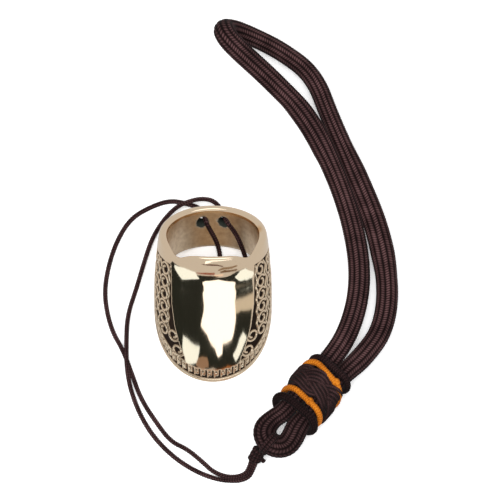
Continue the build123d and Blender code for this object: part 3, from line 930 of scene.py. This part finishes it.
# The lace is a thin round braid of brown polyester. Both its ends are tied in the hitch at the
# eye, and its far loop runs through the two drilled holes behind the thumb.
lace_diameter = 1.0 * mm
lace_looseness = 1.14
lace_knit = {
    "step": 0.14 * mm, "sides": 20, "columns": 4.0, "stitch": 0.62 * mm, "slant": 1.1,
    "relief": 0.14 * mm, "falloff": side_painted_falloff, "yarn": brown_yarn}
# Control points of the lace's line, as X, Y and Z in mm.
lace_route = [
    (9.35, -40.55, 1.3), (8.9, -42.3, 0.6), (7.7, -44.2, 0.5), (4.1, -44.9, 0.5),
    (0.2, -43.6, 0.5), (-2.7, -40.8, 0.5), (-6.3, -37.8, 0.5), (-10.2, -36.0, 0.5),
    (-13.6, -31.5, 0.5), (-17.5, -25.5, 0.5), (-19.8, -18.9, 0.5), (-21.8, -13.5, 0.5),
    (-24.3, -9.2, 0.5), (-25.8, -3.9, 0.5), (-26.3, 1.3, 0.5), (-25.4, 7.2, 0.5),
    (-23.3, 13.6, 0.5), (-19.9, 19.1, 0.5), (-14.8, 22.0, 0.5), (-10.4, 23.4, 0.5),
    (-6.6, 22.7, 0.5), (-2.4, 21.3, 0.5), (-1.75, 16.9, 7.0), (-0.75, 15.6, 3.9),
    (0.6, 13.5, 2.1), (1.4, 11.6, 0.8), (1.8, 9.0, 0.5), (1.9, 6.0, 0.5), (3.2, 1.8, 0.5),
    (6.2, -0.6, 0.5), (8.9, 1.8, 0.5), (8.6, 6.0, 1.4), (7.9, 9.0, 2.6), (6.9, 11.6, 3.8),
    (5.4, 14.7, 5.0), (3.25, 16.9, 7.0), (2.2, 20.9, 0.6), (0.3, 23.2, 1.2), (-2.4, 23.6, 2.0),
    (-4.9, 23.2, 2.0), (-8.5, 21.9, 2.0), (-11.9, 18.8, 0.5), (-14.8, 14.1, 0.5),
    (-16.7, 8.2, 0.5), (-18.7, 1.3, 0.5), (-20.8, -5.1, 0.5), (-21.0, -12.5, 2.0),
    (-20.9, -18.0, 2.0), (-19.9, -23.6, 0.5), (-17.2, -30.5, 0.5), (-13.1, -36.5, 0.5),
    (-7.3, -41.6, 0.5), (-0.5, -45.0, 0.5), (5.3, -45.8, 0.5), (8.55, -44.95, 0.5),
    (9.75, -42.8, 0.6), (10.4, -41.05, 1.3)]
lace = route_line("braided_lace", lace_route)
lace_line = point_places(lace.data)
use_group(lace, knit, diameter=lace_diameter * lace_looseness, **lace_knit)
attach(lace, "root")
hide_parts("lace")

# The barrel of polyester cord holds both strands of the wrist cord: a dark collar and an orange
# ring at each end, and between them four cords side by side, woven round and round as a
# three-part braid.
barrel_start = Vector((29.0, -19.2, barrel_height)) * mm
barrel_heading = math.radians(229.4)
barrel_axis = Vector((math.cos(barrel_heading), math.sin(barrel_heading), 0.0))
upwards = Vector((0.0, 0.0, 1.0))
barrel_across = barrel_axis.cross(-upwards)
strand_gap = 0.1 * mm
wrap_gap = 0.15 * mm
strands_half_width = (2 * wrist_cord_diameter + strand_gap) / 2 + wrap_gap
strands_half_height = wrist_cord_diameter / 2 + wrap_gap


def round_strands(share, reach):
    """A place on the rounded outline round both strands: across and up, reach outside them."""
    radius = strands_half_height + reach
    straight = 2 * (strands_half_width - strands_half_height)
    perimeter = 2 * straight + 2 * math.pi * radius
    way = (share % 1.0) * perimeter
    if way < straight:
        return way - straight / 2, radius
    way -= straight
    if way < math.pi * radius:
        turn = way / radius
        return straight / 2 + radius * math.sin(turn), radius * math.cos(turn)
    way -= math.pi * radius
    if way < straight:
        return straight / 2 - way, -radius
    turn = (way - straight) / radius
    return -straight / 2 - radius * math.sin(turn), -radius * math.cos(turn)


def barrel_place(share, along, reach, lean, turn=0.0):
    """A place round the barrel, its top leaning back towards the wrist loop, then turned."""
    across, up = round_strands(share, reach)
    along -= up * math.tan(math.radians(lean)) + across * math.tan(math.radians(turn))
    return barrel_start + barrel_axis * along + barrel_across * across + upwards * up


def closed_lines(name, loops, shade, open_lines=()):
    """Closed lines, and any open ones, as one mesh of edges, darkened by the shade."""
    places, edges = [], []
    for lines, gap in ((loops, 0), (open_lines, 1)):
        for line in lines:
            start, count = len(places), len(line)
            places += line
            edges += [(start + i, start + (i + 1) % count) for i in range(count - gap)]
    mesh = new_mesh(name, places, edges, [])
    point_values(mesh, "shade", [shade] * len(places))
    return linked(name, mesh)


def circle(middle, first, second, radius, count):
    """Places on a circle that turns from the first direction to the second."""
    turns = [2 * math.pi * i / count for i in range(count)]
    return [middle + (first * math.cos(turn) + second * math.sin(turn)) * radius for turn in turns]


loop_points = 96
join_points = 12
join_radius = 0.28 * mm
join_rise = 0.15 * mm
# Each row is a name, a place along the barrel, a diameter and a reach outside the strands, the
# lean and the turn, how dark it is, where its join sits on the way round, its yarn and its slot.
wrap_rows = (
    ("upper_collar", 1.2 * mm, 1.6 * mm, 0.6 * mm, 25.0, 0.0, 0.65, 0.0, brown_yarn, "brown_cord"),
    ("upper_accent_ring", 4.65 * mm, 1.5 * mm, 0.95 * mm, 39.0, -8.0, 0.0, 0.165, orange_yarn,
     "orange_cord"),
    ("lower_accent_ring", 11.6 * mm, 1.5 * mm, 0.75 * mm, 28.0, -3.0, 0.0, 0.115, orange_yarn,
     "orange_cord"),
    ("lower_collar", 14.0 * mm, 2.0 * mm, 0.9 * mm, 23.0, 0.0, 0.8, 0.0, brown_yarn, "brown_cord"))
wraps = []
for name, along, diameter, reach, lean, turn, shade, join_share, yarn, slot_name in wrap_rows:
    loop = [barrel_place(i / loop_points, along, reach, lean, turn) for i in range(loop_points)]
    middle = barrel_place(join_share, along, reach + join_rise, lean, turn)
    join = circle(middle, barrel_axis, barrel_across, join_radius, join_points)
    wrap = closed_lines(name + "_braid", [loop, join] if join_share else [loop], shade)
    use_group(
        wrap, knit, diameter=diameter, step=0.14 * mm, sides=28, columns=5.0, stitch=0.6 * mm,
        slant=1.2, relief=0.16 * mm, falloff=side_painted_falloff, yarn=yarn)
    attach(wrap, "root")
    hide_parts(name)
    wraps.append(wrap)

strand_count = 4
lead_turns = 3
lead_bights = 5
lead_points = 480
strand_diameter = 0.85 * mm
strand_spacing = 0.86 * mm
braid_middle = 7.75 * mm
braid_sway = 1.75 * mm
braid_lift = 0.5 * mm
braid_reach = 0.98 * mm
braid_lean = 33.0
barrel_round = 2 * math.pi * (strands_half_height + braid_reach)
barrel_round += 4 * (strands_half_width - strands_half_height)
phase_per_turn = 2 * math.pi * lead_bights / lead_turns
braid_loops = []
for strand in range(strand_count):
    offset = (strand - (strand_count - 1) / 2) * strand_spacing
    loop = []
    for i in range(lead_points):
        share = lead_turns * i / lead_points
        phase = phase_per_turn * share
        tilt = math.atan(-braid_sway * math.sin(phase) * phase_per_turn / barrel_round)
        round_share = share - offset * math.sin(tilt) / barrel_round
        along_barrel = braid_middle + braid_sway * math.cos(phase) + offset * math.cos(tilt)
        reach = braid_reach - braid_lift * math.sin(2 * phase)
        loop.append(barrel_place(round_share, along_barrel, reach, braid_lean))
    braid_loops.append(loop)
sleeve_shade = 0.38
sleeve = closed_lines("braided_sleeve_strands", braid_loops, sleeve_shade)
use_group(
    sleeve, knit, diameter=strand_diameter, step=0.16 * mm, sides=16, columns=4.0, stitch=0.4 * mm,
    slant=1.1, relief=0.05 * mm, falloff=0.85, plain=0.95, yarn=brown_yarn)
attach(sleeve, "root")
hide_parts("braided_sleeve")

# The hitch: the lace passes twice round the end of the eye, is wrapped below it and leaves a
# short tail.
eye_tip_along = 23.6 * mm
eye_height = 3.9 * mm
knot_along = 27.35 * mm
knot_across = -0.75 * mm
knot_height = 1.9 * mm
knot_length = 3.0 * mm
knot_wrap_radius = 0.95 * mm
knot_wrap_growth = 1.25
knot_wrap_slip = 0.35 * mm
knot_tail_length = 2.4 * mm
hitch_looseness = 1.1
hitch_shade = 0.35
eye_pinch = 0.3 * mm
knot_wrap_turns = (-0.36, 0.0, 0.36)
eye_loop_points = 60
knot_wrap_points = 48
tail_points = 13
eye_tip = barrel_start + barrel_axis * eye_tip_along
eye_tip.z = eye_height
knot_middle = barrel_start + barrel_axis * knot_along + barrel_across * knot_across
knot_middle.z = knot_height
lace_ends = (Vector(lace_route[0]) + Vector(lace_route[-1])) / 2 * mm
knot_axis = (lace_ends - knot_middle).normalized()
knot_side = knot_axis.cross(upwards).normalized()
knot_up = knot_side.cross(knot_axis)
hitch_lines = []
eye_radius = (wrist_cord_diameter + lace_diameter) / 2 - eye_pinch
for side in (-0.5, 0.5):
    middle = eye_tip + barrel_across * side * lace_diameter
    hitch_lines.append(circle(middle, barrel_axis, upwards, eye_radius, eye_loop_points))
for wrap_turn in knot_wrap_turns:
    loop = []
    for i in range(knot_wrap_points):
        turn = 2 * math.pi * i / knot_wrap_points
        out = knot_side * math.cos(turn) + knot_up * math.sin(turn)
        down = wrap_turn * knot_length + knot_wrap_slip * math.sin(turn + wrap_turn)
        loop.append(knot_middle + out * knot_wrap_radius * knot_wrap_growth + knot_axis * down)
    hitch_lines.append(loop)
tail_end = knot_middle + barrel_across * knot_tail_length
tail_end.z = lace_diameter
tail = [knot_middle.lerp(tail_end, i / (tail_points - 1)) for i in range(tail_points)]
hitch = closed_lines("hitch_knot_strands", hitch_lines, hitch_shade, [tail])
use_group(hitch, knit, diameter=lace_diameter * hitch_looseness, **lace_knit)
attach(hitch, "root")
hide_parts("hitch_knot")

# The cords stay out of the reflections in the brass.
for piece in (wrist_cord, lace, sleeve, hitch, *wraps):
    piece.visible_glossy = False
